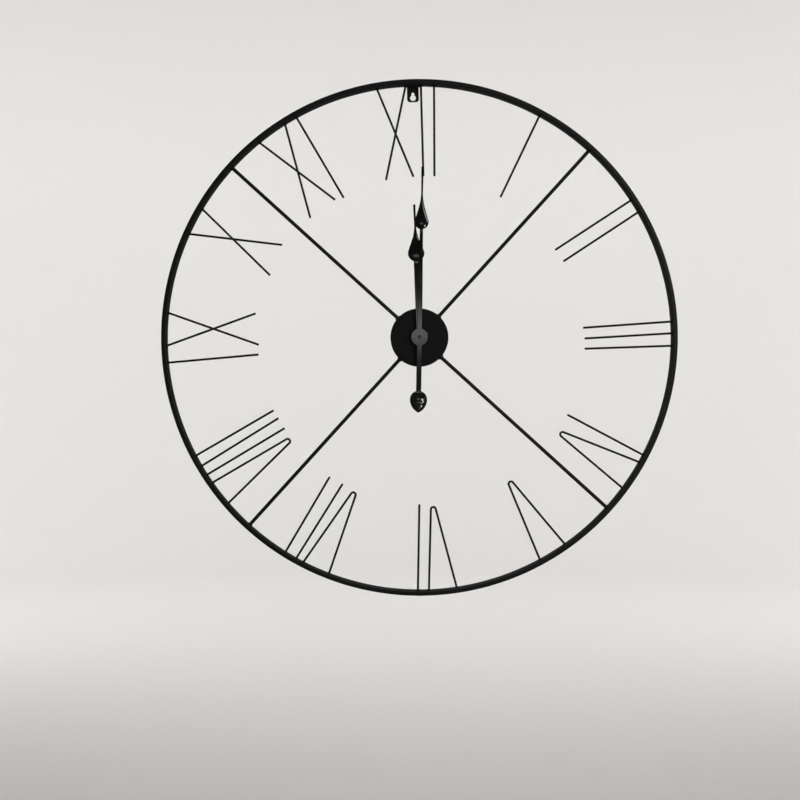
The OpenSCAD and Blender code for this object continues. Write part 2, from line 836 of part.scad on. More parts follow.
// One side of a spade: round bulb, straight flank, then a fillet into the needle.
// Heights are from the centre; `neck` is half the needle's width.
function spade_side(centre_y, r, neck, slope, blend) =
    let (
        flank = [r * cos(slope), centre_y + r * sin(slope)],
        meet_y = flank[1] + (flank[0] - neck) / tan(slope),
        fillet_r = blend / tan(slope / 2),
        fillet_c = [neck + fillet_r, meet_y + blend]
    )
    concat(
        [for (a = [-75:7.5:slope]) [r * cos(a), centre_y + r * sin(a)]],
        [flank],
        [for (i = [0:8]) fillet_c + polar(fillet_r, 180 + slope - slope * i / 8)]
    );

// Both sides of an outline from the points of its right side, listed from the bottom up
function both_sides(right) =
    concat(right, [for (i = [len(right) - 1:-1:0]) [-right[i][0], right[i][1]]]);

module spade_hand(len, stem_half, neck_half, bulb, slope, blend) {
    bulb_y = len + bulb[0];
    side = spade_side(bulb_y, bulb[1], needle_half, slope, blend);
    polygon(both_sides(concat(side, [[needle_tip, len - 1], [needle_tip - 0.5, len]])));
    translate([0, bulb_y]) circle(r = bulb[1]);
    polygon(both_sides([[stem_half, 0], [neck_half, bulb_y]]));
}

// Tail of the minute hand: straight stem and a drop with its point down
module tail_outline() {
    top = -tail_len + tail_bulb_up;
    ogive = (tail_bulb_r * tail_bulb_r + tail_bulb_up * tail_bulb_up) / (2 * tail_bulb_r);
    sweep = asin(tail_bulb_up / ogive);
    side = [for (i = [12:-1:0])
        [tail_bulb_r - ogive, top] + polar(ogive, -sweep * i / 12)];
    polygon(both_sides(side));
    translate([0, top]) circle(r = tail_bulb_r);
    translate([-tail_half, top]) square([2 * tail_half, -top]);
}

module minute_hand() {
    color("#1d1d20") at_wall() translate([0, 0, minute_hand_z]) rotate([0, 0, -minute_rest])
        difference() {
            linear_extrude(hand_t) {
                spade_hand(minute_len, stem_root, minute_neck, minute_bulb, 17, 12);
                tail_outline();
                circle(d = minute_boss_d);
            }
            rotate([0, 0, minute_rest]) translate([0, 0, -1]) shaft_flats(hand_t + 2);
        }
}

module hour_hand() {
    color("#1d1d20") at_wall() translate([0, 0, hour_hand_z]) rotate([0, 0, -hour_rest])
        difference() {
            linear_extrude(hand_t) {
                spade_hand(hour_len, hour_stem + 0.3, hour_stem, hour_bulb, 20.5, 10);
                circle(d = hour_boss_d);
            }
            translate([0, 0, -1]) cylinder(h = hand_t + 2, r = hour_tube_r);
        }
}

module hand_nut() {
    color("#2a2a2d") at_wall() translate([0, 0, minute_hand_z + hand_t])
        pipe(hand_nut_t - 0.2, hand_nut_r, nut_thread_r);
}

// ---------------------------------------------------------------- nodes

rim();
hanger();
hub_can();
spoke(1);  // spoke_1
spoke(2);  // spoke_2
spoke(3);  // spoke_3
spoke(4);  // spoke_4
numeral_1();
numeral_2();
numeral_3();
numeral_4();
numeral_5();
numeral_6();
numeral_7();
numeral_8();
numeral_9();
numeral_10();
numeral_11();
numeral_12();
movement_case();
movement_cover();
threaded_bush();
rubber_gasket();
washer();
hex_nut();
battery();
contact_plus();
contact_minus();
circuit_board();
chip();
quartz_crystal();
coil_bobbin();
coil_winding();
coil_core();
stator();
rotor();
intermediate_wheel();
seconds_wheel();
third_wheel();
centre_wheel();
minute_shaft();
clutch_spring();
minute_wheel();
hour_wheel();
set_knob();
hour_hand();
minute_hand();
hand_nut();
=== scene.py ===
import json
import math

import bmesh
import bpy
from mathutils import Matrix, Vector


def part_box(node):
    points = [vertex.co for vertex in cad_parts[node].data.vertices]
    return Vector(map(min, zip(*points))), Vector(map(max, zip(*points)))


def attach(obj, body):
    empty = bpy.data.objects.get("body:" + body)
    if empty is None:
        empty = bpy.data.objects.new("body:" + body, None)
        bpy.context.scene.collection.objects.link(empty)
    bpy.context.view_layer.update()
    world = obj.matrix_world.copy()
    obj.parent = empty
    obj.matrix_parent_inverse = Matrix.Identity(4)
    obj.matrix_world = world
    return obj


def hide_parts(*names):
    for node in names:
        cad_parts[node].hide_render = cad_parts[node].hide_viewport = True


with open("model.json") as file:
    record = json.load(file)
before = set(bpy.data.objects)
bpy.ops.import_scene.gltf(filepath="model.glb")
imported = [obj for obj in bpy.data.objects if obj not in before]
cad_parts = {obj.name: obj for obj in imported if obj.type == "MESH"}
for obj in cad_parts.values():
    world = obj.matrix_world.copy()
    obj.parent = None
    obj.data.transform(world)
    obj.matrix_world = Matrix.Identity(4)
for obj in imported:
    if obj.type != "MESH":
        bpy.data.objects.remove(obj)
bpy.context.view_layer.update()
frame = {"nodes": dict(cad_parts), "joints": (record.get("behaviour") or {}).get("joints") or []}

# ---------------------------------------------------------------- hoop
# The hoop is a length of flat mild-steel bar, rolled into a ring and butt welded at the bottom,
# where the weld is ground back almost flush. It is sprayed satin black with everything on it.

mm = 0.001
nodes = frame["nodes"]
dial = next(Vector(j["pos_m"]) for j in frame["joints"] if j["name"] == "minute_turn")


class Socket:
    """One output socket. Sums of sockets add Math nodes, and make() adds any other node."""

    def __init__(self, tree, socket):
        self.tree = tree
        self.socket = socket

    def make(self, kind, settings=None, inputs=None, out=0):
        return add_node(self.tree, kind, settings, inputs, out)

    def calc(self, operation, a, b=0.0):
        return self.make("ShaderNodeMath", {"operation": operation}, {0: a, 1: b})

    def __add__(self, other):
        return self.calc("ADD", self, other)

    def __radd__(self, other):
        return self.calc("ADD", other, self)

    def __sub__(self, other):
        return self.calc("SUBTRACT", self, other)

    def __rsub__(self, other):
        return self.calc("SUBTRACT", other, self)

    def __mul__(self, other):
        return self.calc("MULTIPLY", self, other)

    def __rmul__(self, other):
        return self.calc("MULTIPLY", other, self)

    def __truediv__(self, other):
        return self.calc("DIVIDE", self, other)

    def __rtruediv__(self, other):
        return self.calc("DIVIDE", other, self)

    def __lt__(self, other):
        return self.calc("LESS_THAN", self, other)

    def __gt__(self, other):
        return self.calc("GREATER_THAN", self, other)

    def noise(self, per_metre, detail=3.0, rough=0.5):
        inputs = {"Vector": self, "Scale": per_metre, "Detail": detail, "Roughness": rough}
        return self.make("ShaderNodeTexNoise", None, inputs)

    def between(self, low, high, to_low=0.0, to_high=1.0):
        """The value stretched so that low to high becomes to_low to to_high, cut off outside."""
        inputs = {"Value": self, "From Min": low, "From Max": high}
        inputs |= {"To Min": to_low, "To Max": to_high}
        return self.make("ShaderNodeMapRange", None, inputs)

    def mix(self, a, b):
        """Colour a where the value is 0, colour b where it is 1."""
        settings = {"data_type": "RGBA"}
        return self.make("ShaderNodeMix", settings, {"Factor": self, 6: colour(a), 7: colour(b)}, 2)

    def axis(self, name):
        return self.make("ShaderNodeSeparateXYZ", None, {0: self}, name)


def colour(value):
    """A colour as a socket takes it: a link as it is, three numbers with a full alpha."""
    return value if isinstance(value, Socket) else (*value, 1.0)


def add_node(tree, kind, settings=None, inputs=None, out=0):
    """Adds a node: its settings first, then the values or links of its input sockets."""
    node = tree.nodes.new(kind)
    for key, value in (settings or {}).items():
        setattr(node, key, value)
    for key, value in (inputs or {}).items():
        if isinstance(value, Socket):
            tree.links.new(value.socket, node.inputs[key])
        else:
            node.inputs[key].default_value = value
    return Socket(tree, node.outputs[out])


def start_material(name):
    """An empty material and the Object coordinates, in metres, that its pattern is drawn in."""
    material = bpy.data.materials.new(name)
    material.use_nodes = True
    material.node_tree.nodes.clear()
    place = add_node(material.node_tree, "ShaderNodeTexCoord", out="Object")
    return material, place


def finish_material(material, bump, bump_depth, **looks):
    """Closes the material with one Principled shader; bump is a height in units of bump_depth."""
    tree = material.node_tree
    inputs = {key.replace("_", " "): value for key, value in looks.items()}
    if bump is not None:
        relief = {"Height": bump, "Strength": 1.0, "Distance": bump_depth}
        inputs["Normal"] = add_node(tree, "ShaderNodeBump", None, relief)
    shader = add_node(tree, "ShaderNodeBsdfPrincipled", None, inputs)
    end = tree.nodes.new("ShaderNodeOutputMaterial")
    tree.links.new(shader.socket, end.inputs["Surface"])
    return material


def black_coat(name, dark, light, rough_low, rough_high, peel=0.025 * mm, undulation=0.12 * mm):
    """Sprayed black coat: orange peel over slightly uneven steel, duller and greyer in patches."""
    patches_per_metre, skin_per_metre = 28.0, 1500.0
    swells_per_metre, specks_per_metre = 90.0, 2600.0
    dust_grey, dust_cover, dust_roughness = (0.10, 0.098, 0.092), 0.35, 0.08
    material, place = start_material(name)
    patches = place.noise(patches_per_metre, 4.0, 0.6)
    skin = place.noise(skin_per_metre, 2.0, 0.5)
    swell = place.noise(swells_per_metre, 2.0, 0.4)
    specks = place.noise(specks_per_metre, 1.0, 0.5).between(0.69, 0.76)
    tone = patches.between(0.3, 0.75)
    return finish_material(
        material,
        skin * (peel / undulation) + swell,
        undulation,
        Base_Color=(specks * dust_cover).mix(tone.mix(dark, light), dust_grey),
        Roughness=tone.between(0.0, 1.0, rough_low, rough_high) + specks * dust_roughness,
        Specular_IOR_Level=0.32,
    )


def new_tree(name, **sizes):
    """A Geometry Nodes tree with a geometry input and one named input for each size."""
    tree = bpy.data.node_groups.new(name, "GeometryNodeTree")
    tree.interface.new_socket("Geometry", in_out="INPUT", socket_type="NodeSocketGeometry")
    for label, value in sizes.items():
        label = label.replace("_", " ")
        socket = tree.interface.new_socket(label, in_out="INPUT", socket_type="NodeSocketFloat")
        socket.default_value = value
    tree.interface.new_socket("Geometry", in_out="OUTPUT", socket_type="NodeSocketGeometry")
    entry = tree.nodes.new("NodeGroupInput")
    return tree, {s.name: Socket(tree, s) for s in entry.outputs if s.name}


def moved_out(geometry, outward, distance):
    """Moves every point of a geometry along its normal by a distance that may vary."""
    way = {0: outward, "Scale": distance}
    offset = geometry.make("ShaderNodeVectorMath", {"operation": "SCALE"}, way)
    return geometry.make("GeometryNodeSetPosition", None, {"Geometry": geometry, "Offset": offset})


def close_tree(tree, geometry, material):
    """Ends a tree in Realize Instances and Set Material."""
    solid = geometry.make("GeometryNodeRealizeInstances", None, {"Geometry": geometry})
    smooth = solid.make(
        "GeometryNodeSetShadeSmooth", None, {"Geometry": solid, "Shade Smooth": True}
    )
    painted = smooth.make(
        "GeometryNodeSetMaterial", None, {"Geometry": smooth, "Material": material}
    )
    end = tree.nodes.new("NodeGroupOutput")
    tree.links.new(painted.socket, end.inputs[0])


def grow(name, tree, seeds=None, **sizes):
    """Runs a tree on a new object, keeps the result as a plain mesh and drops the modifier."""
    piece = bpy.data.objects.new(name, seeds or bpy.data.meshes.new(name))
    bpy.context.scene.collection.objects.link(piece)
    modifier = piece.modifiers.new("grow", "NODES")
    modifier.node_group = tree
    for item in tree.interface.items_tree:
        label = item.name.replace(" ", "_")
        if item.in_out == "INPUT" and label in sizes:
            modifier[item.identifier] = sizes[label]
    evaluated = piece.evaluated_get(bpy.context.evaluated_depsgraph_get())
    plain = bpy.data.meshes.new_from_object(evaluated)
    piece.modifiers.clear()
    piece.data = plain
    plain.name = name
    return piece


def radius_of(point):
    """Distance from the dial's axis."""
    return math.hypot(point[0] - dial.x, point[2] - dial.z)


rim_low, rim_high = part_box("rim")
hoop_out = (rim_high.x - rim_low.x) / 2
hoop_in = min(radius_of(v.co) for v in nodes["rim"].data.vertices)
hoop_depth = rim_high.y - rim_low.y
hoop_steps = 480
corner_steps = 4
seam_half = 4 * mm

frame_black = black_coat(
    "frame_black_coat", (0.0065, 0.0065, 0.007), (0.014, 0.0138, 0.0135), 0.36, 0.52
)

hoop_tree, size = new_tree(
    "flat_bar_hoop",
    Middle_Radius=0.3,
    Bar=6 * mm,
    Depth=20 * mm,
    Edge=1 * mm,
    Waviness=0.1 * mm,
    Weld_Height=0.2 * mm,
    Centre_X=0.0,
    Centre_Z=0.0,
)
circle = add_node(
    hoop_tree,
    "GeometryNodeCurvePrimitiveCircle",
    None,
    {"Resolution": hoop_steps, "Radius": size["Middle Radius"]},
)
section = add_node(
    hoop_tree,
    "GeometryNodeCurvePrimitiveQuadrilateral",
    None,
    {"Width": size["Bar"], "Height": size["Depth"]},
)
section = section.make(
    "GeometryNodeFilletCurve",
    {"mode": "POLY"},
    {"Curve": section, "Radius": size["Edge"], "Count": corner_steps},
)
bar = circle.make(
    "GeometryNodeCurveToMesh", None, {"Curve": circle, "Profile Curve": section}
)
turned = bar.make(
    "GeometryNodeTransform", None, {"Geometry": bar, "Rotation": (math.pi / 2, 0.0, 0.0)}
)
here = turned.make("GeometryNodeInputPosition")
outward = turned.make("GeometryNodeInputNormal")
across = here.axis("X")
below = here.axis("Z") * -1.0
seam = across.calc("ABSOLUTE", across).between(seam_half, 0.0) * (below > 0.0)
ripple = here.noise(700.0, 2.0) - 0.5
swell = (here.noise(24.0, 2.0) - 0.5) * size["Waviness"]
uneven = moved_out(turned, outward, swell + seam * size["Weld Height"] * (0.7 + ripple))
shift = uneven.make(
    "ShaderNodeCombineXYZ",
    None,
    {"X": size["Centre X"], "Y": size["Depth"] * -0.5, "Z": size["Centre Z"]},
)
placed = uneven.make("GeometryNodeTransform", None, {"Geometry": uneven, "Translation": shift})
close_tree(hoop_tree, placed, frame_black)

hoop = grow(
    "hoop",
    hoop_tree,
    Middle_Radius=(hoop_out + hoop_in) / 2,
    Bar=hoop_out - hoop_in,
    Depth=hoop_depth,
    Edge=0.9 * mm,
    Waviness=0.16 * mm,
    Weld_Height=0.22 * mm,
    Centre_X=dial.x,
    Centre_Z=dial.z,
)
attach(hoop, "root")
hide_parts("rim")

# ---------------------------------------------------------------- spokes and numerals
# Four round rods run from the hub to the hoop. The numerals are cut lengths of thinner wire,
# straight for an I, crossed for an X and bent to a hairpin for a V, held by their feet only.

spokes = [f"spoke_{i}" for i in range(1, 5)]
numerals = [f"numeral_{i}" for i in range(1, 13)]


def paint(names, material):
    """Gives nodes of the frame their finish."""
    for name in names:
        nodes[name].data.materials.clear()
        nodes[name].data.materials.append(material)


wire_black = black_coat(
    "wire_black_coat", (0.007, 0.007, 0.0075), (0.016, 0.0158, 0.0155), 0.38, 0.55
)
paint(spokes + numerals, wire_black)

# ---------------------------------------------------------------- welds
# Every wire foot, both ends of every spoke and both edges of the hanger's flange are held by
# small puddled welds, low lumps of steel with a rippled skin, under the same black coat.

wire_lump = 0.92  # radius of a lump, as a share of the wire it holds
spoke_lump = 0.8
flange_lump = 1.7 * mm
flange_lumps = 7
flange_skin = 0.2 * mm
foot_skin = 0.5 * mm
foot_reach = 6 * mm


def clusters(points, reach):
    """Groups points that lie within reach of a group's first point, and returns each group."""
    groups = []
    for p in points:
        for group in groups:
            if (group[0] - p).length < reach:
                group.append(p)
                break
        else:
            groups.append([p])
    return groups


def on_hoop(name, skin):
    """A node's points that lie within a skin of the hoop's inner face."""
    return [v.co.copy() for v in nodes[name].data.vertices if radius_of(v.co) > hoop_in - skin]


def feet_on_hoop(name):
    """Middle of each place where a node's rods end on the hoop's inner face."""
    return [sum(g, Vector()) / len(g) for g in clusters(on_hoop(name, foot_skin), foot_reach)]


def towards_dial(point):
    return Vector((dial.x - point.x, 0.0, dial.z - point.z)).normalized()


spoke_low, spoke_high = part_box("spoke_1")
wire_low, wire_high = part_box("numeral_1")
can_low, can_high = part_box("hub_can")
spoke_d = spoke_high.y - spoke_low.y
wire_d = wire_high.y - wire_low.y
can_r = (can_high.x - can_low.x) / 2

lumps = []
for name in numerals:
    for foot in feet_on_hoop(name):
        lumps.append((foot, towards_dial(foot), wire_d * wire_lump))
for name in spokes:
    for foot in feet_on_hoop(name):
        inward = towards_dial(foot)
        lumps.append((foot, inward, spoke_d * spoke_lump))
        at_can = Vector((dial.x, foot.y, dial.z)) - inward * can_r
        lumps.append((at_can, -inward, spoke_d * spoke_lump))
flange = on_hoop("hanger", flange_skin)
flange_back, *_, flange_front = sorted(-p.y for p in flange)
for edge in (min(flange, key=lambda p: p.x), max(flange, key=lambda p: p.x)):
    for i in range(flange_lumps):
        depth = flange_back + (flange_front - flange_back) * (0.08 + 0.14 * i)
        lumps.append((Vector((edge.x, -depth, edge.z)), towards_dial(edge), flange_lump))

weld_seeds = bpy.data.meshes.new("weld_seeds")
weld_seeds.from_pydata([p for p, way, r in lumps], [], [])
weld_seeds.attributes.new("lump_way", "FLOAT_VECTOR", "POINT")
weld_seeds.attributes.new("lump_size", "FLOAT", "POINT")
for i, (p, way, r) in enumerate(lumps):
    weld_seeds.attributes["lump_way"].data[i].vector = way
    weld_seeds.attributes["lump_size"].data[i].value = r

weld_tree, size = new_tree("puddled_welds", Flatness=0.6, Ripple=0.4 * mm)
lump = add_node(
    weld_tree, "GeometryNodeMeshIcoSphere", None, {"Radius": 1.0, "Subdivisions": 4}
)
flat = lump.make("ShaderNodeCombineXYZ", None, {"X": 1.0, "Y": 1.0, "Z": size["Flatness"]})
lump = lump.make("GeometryNodeTransform", None, {"Geometry": lump, "Scale": flat})
way = lump.make(
    "GeometryNodeInputNamedAttribute", {"data_type": "FLOAT_VECTOR"}, {"Name": "lump_way"}
)
girth = lump.make("GeometryNodeInputNamedAttribute", {"data_type": "FLOAT"}, {"Name": "lump_size"})
turn = way.make("FunctionNodeAlignRotationToVector", {"axis": "Z"}, {"Vector": way})
set_out = lump.make(
    "GeometryNodeInstanceOnPoints",
    None,
    {"Points": size["Geometry"], "Instance": lump, "Rotation": turn, "Scale": girth},
)
welded = set_out.make("GeometryNodeRealizeInstances", None, {"Geometry": set_out})
here = welded.make("GeometryNodeInputPosition")
outward = welded.make("GeometryNodeInputNormal")
swirl = (here.noise(420.0, 3.0) - 0.45) * size["Ripple"] * 2.4
close_tree(weld_tree, moved_out(welded, outward, swirl), frame_black)
welds = grow("welds", weld_tree, weld_seeds, Flatness=0.6, Ripple=0.45 * mm)
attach(welds, "root")

# ---------------------------------------------------------------- hanger
# A short strip of sheet steel with a punched keyhole, folded over and welded inside the hoop
# before the clock was sprayed, so it carries the same coat.

paint(["hanger"], frame_black)

# ---------------------------------------------------------------- hub can
# The hub is a cup pressed from sheet, open at the back, with a rolled front edge. Its flat face
# was sprayed with a duller coat than the wire.

hub_black = black_coat(
    "hub_black_coat",
    (0.0045, 0.0045, 0.005),
    (0.0085, 0.0083, 0.008),
    0.56,
    0.7,
    peel=0.02 * mm,
    undulation=0.08 * mm,
)
paint(["hub_can"], hub_black)

# ---------------------------------------------------------------- hands
# Each hand is cut from thin sheet with a spade-shaped bulb; the bulbs are pressed to a low dome,
# the boss is left flat, and the edges are tumbled round. The minute hand's tail ends in a drop.


class HandShape:
    """A hand's outline, read from its solid: s runs along the hand and w across it."""

    least_step = 0.25 * mm
    most_step = 1.6 * mm
    blunt_tip = 0.4 * mm
    on_face = 0.001 * mm

    def __init__(self, name):
        mesh = nodes[name].data
        points = [v.co for v in mesh.vertices]
        self.up = self.through_tip(points)
        self.side = Vector((self.up.z, 0.0, -self.up.x))
        self.front = min(p.y for p in points)
        self.back = max(p.y for p in points)
        self.cuts = []
        for edge in mesh.edges:
            a, b = (points[i] for i in edge.vertices)
            if all(abs(p.y - self.front) < self.on_face for p in (a, b)):
                self.cuts.append(sorted((self.flat(a), self.flat(b))))
        ends = [s for cut in self.cuts for s, w in cut]
        sides = {s for cut in self.cuts for s, w in cut if w > 0.2 * mm}
        self.stations = self.thinned(sorted({round(s, 5) for s in sides | {min(ends), max(ends)}}))

    def through_tip(self, points):
        """Direction of the hand: from the dial's axis through the middle of its blunt tip."""
        far = max(radius_of(p) for p in points)
        tips = [p for p in points if radius_of(p) > far - self.blunt_tip]
        middle = sum(tips, Vector()) / len(tips)
        return Vector((middle.x - dial.x, 0.0, middle.z - dial.z)).normalized()

    def flat(self, p):
        v = Vector((p.x - dial.x, 0.0, p.z - dial.z))
        return (v.dot(self.up), v.dot(self.side))

    def thinned(self, stations):
        """Stations no closer than the least step and no farther apart than the most."""
        kept = [stations[0]]
        for s in stations[1:]:
            first = kept[-1]
            if s - first < self.least_step:
                continue
            steps = math.ceil((s - first) / self.most_step)
            kept += [first + (s - first) * (i + 1) / steps for i in range(steps)]
        return kept

    def half_width(self, s):
        """Half the outline's width at a station, on the side that the outline reaches farther."""
        widest = 0.0
        for (s0, w0), (s1, w1) in self.cuts:
            if s0 <= s <= s1 and s1 > s0:
                widest = max(widest, abs(w0 + (w1 - w0) * (s - s0) / (s1 - s0)))
        return widest

    def place(self, s, w, depth):
        flat = dial + self.up * s + self.side * w
        return Vector((flat.x, -depth, flat.z))


def piece_from(name, made):
    """Turns a finished bmesh into a smooth-shaded object."""
    mesh = bpy.data.meshes.new(name)
    made.to_mesh(mesh)
    made.free()
    for face in mesh.polygons:
        face.use_smooth = True
    piece = bpy.data.objects.new(name, mesh)
    bpy.context.scene.collection.objects.link(piece)
    return piece


def edge_fall(from_edge, radius):
    """How far a rounded edge lies below the flat, at a distance from the outline."""
    return radius - math.sqrt(max(0.0, radius * radius - max(0.0, radius - from_edge) ** 2))


def hand_piece(name, shape, hole_r, dome, lumps, lean):
    """Skins a hand with one closed ring of points per station, domed where dome(s) says so."""
    least_half = 0.15 * mm
    tumbled = 0.3 * mm
    back_share = 0.6
    crown_power = 0.75
    half_steps = 8
    across = [
        math.sin(math.pi / 2 * i / half_steps) for i in range(-half_steps, half_steps + 1)
    ]
    back = -shape.back
    front = -shape.front
    rings = []
    made = bmesh.new()
    for s in shape.stations:
        half = max(shape.half_width(s), least_half)
        edge = min(tumbled, half * 0.5)
        ring = []
        for u in across:
            lift = dome(s) * (1.0 - u * u) ** crown_power
            fall = edge_fall(half * (1.0 - abs(u)), edge)
            height = front - fall + lift + lean(s) + lumps(s, half * u)
            ring.append(made.verts.new(shape.place(s, half * u, height)))
        for u in reversed(across[1:-1]):
            fall = edge_fall(half * (1.0 - abs(u)), edge)
            height = back + fall * back_share + lean(s)
            ring.append(made.verts.new(shape.place(s, half * u, height)))
        rings.append(ring)
    for a, b in zip(rings, rings[1:]):
        for i in range(len(a)):
            j = (i + 1) % len(a)
            made.faces.new((a[i], a[j], b[j], b[i]))
    made.faces.new(rings[0])
    made.faces.new(list(reversed(rings[-1])))
    bmesh.ops.recalc_face_normals(made, faces=made.faces)
    return bored(piece_from(name, made), hole_r)


def bored(piece, r):
    """Cuts a round hole on the dial's axis through a piece."""
    drill = bmesh.new()
    turned = Matrix.Translation(dial) @ Matrix.Rotation(math.pi / 2, 4, "X")
    bmesh.ops.create_cone(
        drill, cap_ends=True, segments=64, radius1=r, radius2=r, depth=40 * mm, matrix=turned
    )
    tool = piece_from("drill", drill)
    cut = piece.modifiers.new("bore", "BOOLEAN")
    cut.operation = "DIFFERENCE"
    cut.solver = "EXACT"
    cut.object = tool
    evaluated = piece.evaluated_get(bpy.context.evaluated_depsgraph_get())
    piece.data = bpy.data.meshes.new_from_object(evaluated)
    piece.modifiers.clear()
    bpy.data.objects.remove(tool)
    for face in piece.data.polygons:
        face.use_smooth = True
    return piece


def rise(s, low, high, soft):
    """Smooth step up at low and down at high."""
    up = min(1.0, max(0.0, (s - low) / soft + 0.5))
    down = min(1.0, max(0.0, (high - s) / soft + 0.5))
    t = min(up, down)
    return t * t * (3.0 - 2.0 * t)


def hand_coat(name, glossy_below):
    """Thin satin black over metal; the tail's pressed drop has a thick, glossy, uneven coat."""
    edge_of_gloss = 5 * mm
    material, place = start_material(name)
    grain = place.noise(900.0, 3.0, 0.6)
    smear = place.noise(60.0, 3.0, 0.6).between(0.3, 0.7)
    swell = place.noise(230.0, 2.0, 0.5)
    drop = place.axis("Z").between(glossy_below, glossy_below - edge_of_gloss)
    return finish_material(
        material,
        grain * 0.004 + swell * (0.02 + drop * 0.9),
        0.25 * mm,
        Base_Color=smear.mix((0.0025, 0.0025, 0.003), (0.006, 0.0058, 0.0055)),
        Roughness=smear.between(0.0, 1.0, 0.09, 0.12) + grain * 0.02,
        Coat_Weight=drop,
        Coat_Roughness=0.07,
        Specular_IOR_Level=0.5,
    )


minute = HandShape("minute_hand")
hour = HandShape("hour_hand")
minute_tip = minute.stations[-1]
hour_tip = hour.stations[-1]
tail_tip = minute.stations[0]
minute_bulb = (minute_tip - 82 * mm, minute_tip - 42 * mm)
hour_bulb = (hour_tip - 74 * mm, hour_tip - 40 * mm)
tail_drop = (tail_tip - 3 * mm, tail_tip + 23 * mm)
bulb_fade, drop_fade, lump_fade = 14 * mm, 10 * mm, 6 * mm
bend_from, bend_slope = 70 * mm, 0.006
minute_hole, hour_hole = 1.55 * mm, 2.45 * mm
hand_black = hand_coat("hand_black_coat", dial.z + tail_tip + 30 * mm)


def minute_dome(s):
    bulb = 1.3 * mm * rise(s, *minute_bulb, bulb_fade)
    return bulb + 1.5 * mm * rise(s, *tail_drop, drop_fade)


def hour_dome(s):
    return 0.9 * mm * rise(s, *hour_bulb, bulb_fade)


def drop_lumps(s, w):
    """Crossed waves that leave the drop's coat lumpy."""
    wave = math.sin(s * 760.0 + w * 280.0) * math.sin(w * 640.0 - s * 210.0 + 0.4)
    return 0.10 * mm * rise(s, *tail_drop, lump_fade) * wave


def minute_lean(s):
    """The hand's long arm is bent a little away from the wall, to clear the hour hand."""
    return bend_slope * max(0.0, s - bend_from)


def level(*where):
    return 0.0


for body, piece in (
    (
        "minute_hand",
        hand_piece("minute_hand_spade", minute, minute_hole, minute_dome, drop_lumps, minute_lean),
    ),
    ("hour_hand", hand_piece("hour_hand_spade", hour, hour_hole, hour_dome, level, level)),
):
    piece.data.materials.append(hand_black)
    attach(piece, body)
    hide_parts(body)

# ---------------------------------------------------------------- hand nut
# A small round nut of blackened brass screws on the end of the hollow minute shaft; it is open
# at the front, so the shaft's mouth shows inside it.


def turned_ring(name, profile, steps=96):
    """Turns a closed profile of (radius, depth) points about the dial's axis."""
    made = bmesh.new()
    rings = []
    for i in range(steps):
        a = 2 * math.pi * i / steps
        rings.append([
            made.verts.new((dial.x + r * math.cos(a), -depth, dial.z + r * math.sin(a)))
            for r, depth in profile
        ])
    for i in range(steps):
        a, b = rings[i], rings[(i + 1) % steps]
        for j in range(len(profile)):
            k = (j + 1) % len(profile)
            made.faces.new((a[j], a[k], b[k], b[j]))
    bmesh.ops.recalc_face_normals(made, faces=made.faces)
    return piece_from(name, made)


def arc(r, depth, radius, start, end, steps=5):
    """Points of a profile's rounded corner, angles in degrees."""
    turns = [math.radians(start + (end - start) * i / steps) for i in range(steps + 1)]
    return [(r + radius * math.cos(a), depth + radius * math.sin(a)) for a in turns]


nut_low, nut_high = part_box("hand_nut")
nut_r = (nut_high.x - nut_low.x) / 2
nut_hole = min(radius_of(v.co) for v in nodes["hand_nut"].data.vertices)
nut_back, nut_front = -nut_high.y, -nut_low.y
nut_edge = 0.3 * mm
nut_profile = (
    [(nut_hole, nut_back), (nut_r, nut_back)]
    + arc(nut_r - nut_edge, nut_front - nut_edge, nut_edge, 0, 90)
    + arc(nut_hole + nut_edge, nut_front - nut_edge, nut_edge, 90, 180)
)
hand_nut = turned_ring("round_hand_nut", nut_profile)
blackened, place = start_material("blackened_brass")
wear = place.noise(1400.0, 3.0).between(0.45, 0.7)
finish_material(
    blackened,
    place.noise(4000.0, 2.0),
    0.01 * mm,
    Base_Color=wear.mix((0.012, 0.012, 0.013), (0.05, 0.045, 0.038)),
    Roughness=wear.between(0.0, 1.0, 0.24, 0.38),
    Metallic=0.6,
)
hand_nut.data.materials.append(blackened)
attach(hand_nut, "minute_hand")
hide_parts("hand_nut")

# ---------------------------------------------------------------- movement housing
# A standard quartz movement fills the hub. Its box and cover are moulded in black plastic with a
# fine sparked grain; a rubber gasket, a washer and a hexagon nut on the threaded bush clamp it.


def sparked_plastic(name, dark, light, rough):
    """Moulded plastic with a fine sparked grain, a little shinier where it has been handled."""
    material, place = start_material(name)
    handled = place.noise(70.0, 3.0, 0.6).between(0.35, 0.7)
    return finish_material(
        material,
        place.noise(5200.0, 2.0, 0.6),
        0.04 * mm,
        Base_Color=handled.mix(dark, light),
        Roughness=handled.between(0.0, 1.0, rough, rough - 0.12),
    )


case_black = sparked_plastic("case_grain", (0.014, 0.014, 0.015), (0.024, 0.024, 0.026), 0.58)
knob_black = sparked_plastic("knob_grain", (0.030, 0.030, 0.032), (0.050, 0.050, 0.054), 0.5)
paint(["movement_case", "movement_cover"], case_black)
paint(["set_knob"], knob_black)

rubber, place = start_material("moulded_rubber")
dust = place.noise(600.0, 4.0, 0.65).between(0.45, 0.75)
finish_material(
    rubber,
    place.noise(2500.0, 2.0),
    0.05 * mm,
    Base_Color=dust.mix((0.016, 0.016, 0.016), (0.05, 0.048, 0.045)),
    Roughness=dust.between(0.0, 1.0, 0.72, 0.9),
)
paint(["rubber_gasket"], rubber)

bright_brass, dull_brass = (0.78, 0.57, 0.25), (0.48, 0.33, 0.14)
bright_nickel, dull_nickel = (0.68, 0.67, 0.64), (0.50, 0.48, 0.45)


